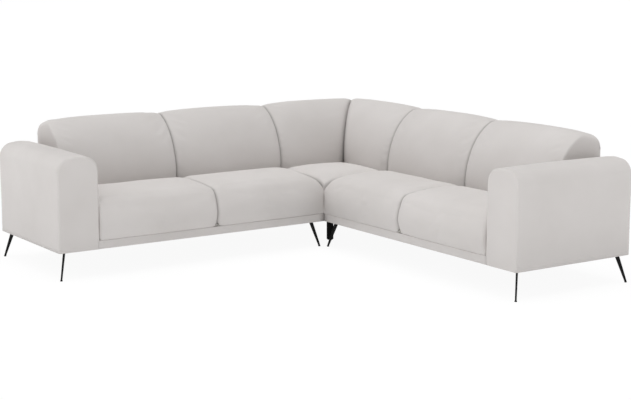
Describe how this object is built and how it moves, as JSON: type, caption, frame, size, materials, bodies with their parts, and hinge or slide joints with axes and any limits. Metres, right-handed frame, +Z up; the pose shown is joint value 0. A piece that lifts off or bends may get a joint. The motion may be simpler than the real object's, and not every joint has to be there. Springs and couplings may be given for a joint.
{
  "type": "corner sofa",
  "caption": "L-shaped upholstered corner sofa in three modules, with rounded block arms, crowned seats, rolled backs and splayed metal legs.",
  "frame": {"origin": "on the floor under the middle of the sofa's outline", "axes": "+Z up; the outer corner of the backs points to +X +Y; the left wing runs along -X and the right wing along -Y"},
  "size_m": [2.6588, 2.6588, 0.845],
  "materials": {
    "cover_fabric": "smooth fine weave, light warm grey",
    "frame_wood": "planed, unfinished",
    "cushion_foam": "open-cell foam and wadding",
    "leg_metal": "matte black powder coat",
    "foot_plastic": "moulded, matte",
    "elastic_webbing": "woven elastic",
    "lining_cloth": "non-woven cloth",
    "connector_steel": "zinc plated"
  },
  "bodies": {
    "corner_module": {"corner_seat_frame": "frame_wood", "corner_seat_webbing": "elastic_webbing", "corner_front_foot": "foot_plastic", "corner_right_foot": "foot_plastic", "corner_left_foot": "foot_plastic", "corner_rear_foot": "foot_plastic", "corner_seat_foam": "cushion_foam", "corner_seat": "cover_fabric", "corner_back_frame": "frame_wood", "corner_back_panels": "frame_wood", "corner_left_back": "cover_fabric", "corner_right_back": "cover_fabric", "corner_back_foams": "cushion_foam", "corner_outside_backs": "cover_fabric", "corner_dust_cover": "lining_cloth", "corner_connector_brackets": "connector_steel"},
    "left_module": {"left_seat_frame": "frame_wood", "left_seat_webbing": "elastic_webbing", "left_front_inner_leg": "leg_metal", "left_rear_inner_leg": "leg_metal", "left_front_outer_leg": "leg_metal", "left_rear_outer_leg": "leg_metal", "left_leg_glides": "foot_plastic", "left_arm_frame": "frame_wood", "left_arm_padding": "cushion_foam", "left_arm_cover": "cover_fabric", "left_back_frame": "frame_wood", "left_back_straps": "elastic_webbing", "left_seat_foams": "cushion_foam", "left_inner_seat": "cover_fabric", "left_outer_seat": "cover_fabric", "left_back_foams": "cushion_foam", "left_inner_back": "cover_fabric", "left_outer_back": "cover_fabric", "left_base_border": "cover_fabric", "left_outside_back": "cover_fabric", "left_dust_cover": "lining_cloth", "left_connector_hooks": "connector_steel"},
    "right_module": {"right_seat_frame": "frame_wood", "right_seat_webbing": "elastic_webbing", "right_front_inner_leg": "leg_metal", "right_rear_inner_leg": "leg_metal", "right_front_outer_leg": "leg_metal", "right_rear_outer_leg": "leg_metal", "right_leg_glides": "foot_plastic", "right_arm_frame": "frame_wood", "right_arm_padding": "cushion_foam", "right_arm_cover": "cover_fabric", "right_back_frame": "frame_wood", "right_back_straps": "elastic_webbing", "right_seat_foams": "cushion_foam", "right_inner_seat": "cover_fabric", "right_outer_seat": "cover_fabric", "right_back_foams": "cushion_foam", "right_inner_back": "cover_fabric", "right_outer_back": "cover_fabric", "right_base_border": "cover_fabric", "right_outside_back": "cover_fabric", "right_dust_cover": "lining_cloth", "right_connector_hooks": "connector_steel"}
  },
  "joints": [
    {"name": "left_wing_lift", "type": "slide", "parent": "corner_module", "child": "left_module", "axis": [0, 0, 1], "range_m": [0, 0.02]},
    {"name": "right_wing_lift", "type": "slide", "parent": "corner_module", "child": "right_module", "axis": [0, 0, 1], "range_m": [0, 0.02]}
  ]
}
